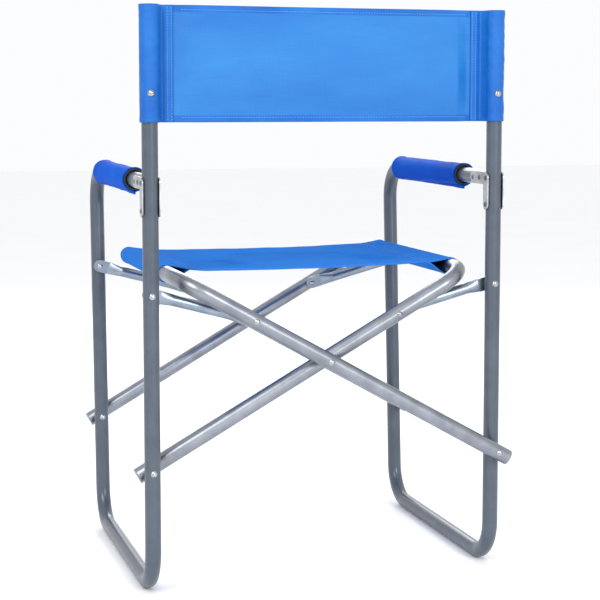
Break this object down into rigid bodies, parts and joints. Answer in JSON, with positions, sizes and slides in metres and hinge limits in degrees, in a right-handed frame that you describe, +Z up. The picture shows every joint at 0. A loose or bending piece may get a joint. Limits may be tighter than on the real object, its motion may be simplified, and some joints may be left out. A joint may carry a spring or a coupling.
{
  "type": "folding director's chair",
  "caption": "Folding armchair of bent round tube with a sling seat, a cloth back, padded arms and crossed U-shaped seat tubes.",
  "frame": {"origin": "on the floor under the middle of the chair's bounding box", "axes": "+Z up; the chair faces -Y; +X towards the sitter's left"},
  "size_m": [0.546, 0.5036, 0.802],
  "materials": {
    "frame_paint": "satin blue-grey paint on steel tube",
    "bare_tube": "bright plated steel tube",
    "link_tube": "bright plated steel tube",
    "bracket_plate": "zinc-plated pressed plate",
    "rivet": "zinc-plated steel",
    "washer": "dark nylon",
    "tube_plug": "grey polyethylene",
    "foam": "black closed-cell foam",
    "arm_cloth": "coated woven polyester, royal blue",
    "seat_cloth": "coated woven polyester, bright blue",
    "back_cloth": "coated woven polyester, bright blue"
  },
  "bodies": {
    "left_frame": {"left_frame_tube": "frame_paint", "left_post_plug": "tube_plug", "left_arm_tube": "frame_paint", "left_bracket_inner": "bracket_plate", "left_bracket_outer": "bracket_plate", "left_bracket_rivets": "rivet", "left_arm_foam": "foam", "left_arm_sleeve": "arm_cloth", "left_back_sleeve": "back_cloth", "left_back_screw": "rivet", "left_lower_rivets": "rivet", "left_lower_washers": "washer", "left_link_post_rivets": "rivet", "left_link_post_spacers": "rivet", "back_panel": "back_cloth"},
    "right_seat_tube": {"right_seat_tube": "bare_tube", "right_seat_tube_plugs": "tube_plug", "right_link_tube_rivets": "rivet", "right_link_tube_washers": "washer", "right_seat_sleeve": "seat_cloth"},
    "left_seat_tube": {"left_seat_tube": "bare_tube", "left_seat_tube_plugs": "tube_plug", "left_link_tube_rivets": "rivet", "left_link_tube_washers": "washer", "left_seat_sleeve": "seat_cloth", "cross_rivets": "rivet", "cross_washers": "washer", "seat_panel": "seat_cloth"},
    "right_frame": {"right_frame_tube": "frame_paint", "right_post_plug": "tube_plug", "right_arm_tube": "frame_paint", "right_bracket_inner": "bracket_plate", "right_bracket_outer": "bracket_plate", "right_bracket_rivets": "rivet", "right_arm_foam": "foam", "right_arm_sleeve": "arm_cloth", "right_back_sleeve": "back_cloth", "right_back_screw": "rivet", "right_lower_rivets": "rivet", "right_lower_washers": "washer", "right_link_post_rivets": "rivet", "right_link_post_spacers": "rivet"},
    "rear_left_link": {"rear_left_link": "link_tube", "rear_left_link_head": "rivet"},
    "rear_right_link": {"rear_right_link": "link_tube", "rear_right_link_head": "rivet"},
    "front_left_link": {"front_left_link": "link_tube", "front_left_link_head": "rivet"},
    "front_right_link": {"front_right_link": "link_tube", "front_right_link_head": "rivet"}
  },
  "joints": [
    {"name": "fold", "type": "hinge", "parent": "left_frame", "child": "right_seat_tube", "pos_m": [0.251, 0.23565, 0.173], "axis": [0, 1, 0], "range_deg": [0, 31.55], "deforming": ["back_panel"]},
    {"name": "seat_cross", "type": "hinge", "parent": "right_seat_tube", "child": "left_seat_tube", "pos_m": [0, 0.2239, 0.3147], "axis": [0, 1, 0], "range_deg": [-63.1, 0], "deforming": ["seat_panel"]},
    {"name": "right_frame_pivot", "type": "hinge", "parent": "left_seat_tube", "child": "right_frame", "pos_m": [-0.251, 0.21215, 0.173], "axis": [0, 1, 0], "range_deg": [0, 31.55]},
    {"name": "rear_left_link_pivot", "type": "hinge", "parent": "left_frame", "child": "rear_left_link", "pos_m": [0.251, 0.23565, 0.414], "axis": [0, 1, 0], "range_deg": [0, 70.96]},
    {"name": "rear_right_link_pivot", "type": "hinge", "parent": "right_frame", "child": "rear_right_link", "pos_m": [-0.251, 0.21215, 0.414], "axis": [0, 1, 0], "range_deg": [-70.96, 0]},
    {"name": "front_left_link_pivot", "type": "hinge", "parent": "left_frame", "child": "front_left_link", "pos_m": [0.251, -0.21076, 0.414], "axis": [0, 1, 0], "range_deg": [0, 70.96]},
    {"name": "front_right_link_pivot", "type": "hinge", "parent": "right_frame", "child": "front_right_link", "pos_m": [-0.251, -0.23426, 0.414], "axis": [0, 1, 0], "range_deg": [-70.96, 0]}
  ],
  "couplings": [
    {"joint": "seat_cross", "follows": "fold", "ratio": -2},
    {"joint": "right_frame_pivot", "follows": "fold", "ratio": 1},
    {"joint": "rear_left_link_pivot", "follows": "fold", "ratio": 2.2487},
    {"joint": "rear_right_link_pivot", "follows": "fold", "ratio": -2.2487},
    {"joint": "front_left_link_pivot", "follows": "fold", "ratio": 2.2487},
    {"joint": "front_right_link_pivot", "follows": "fold", "ratio": -2.2487}
  ]
}
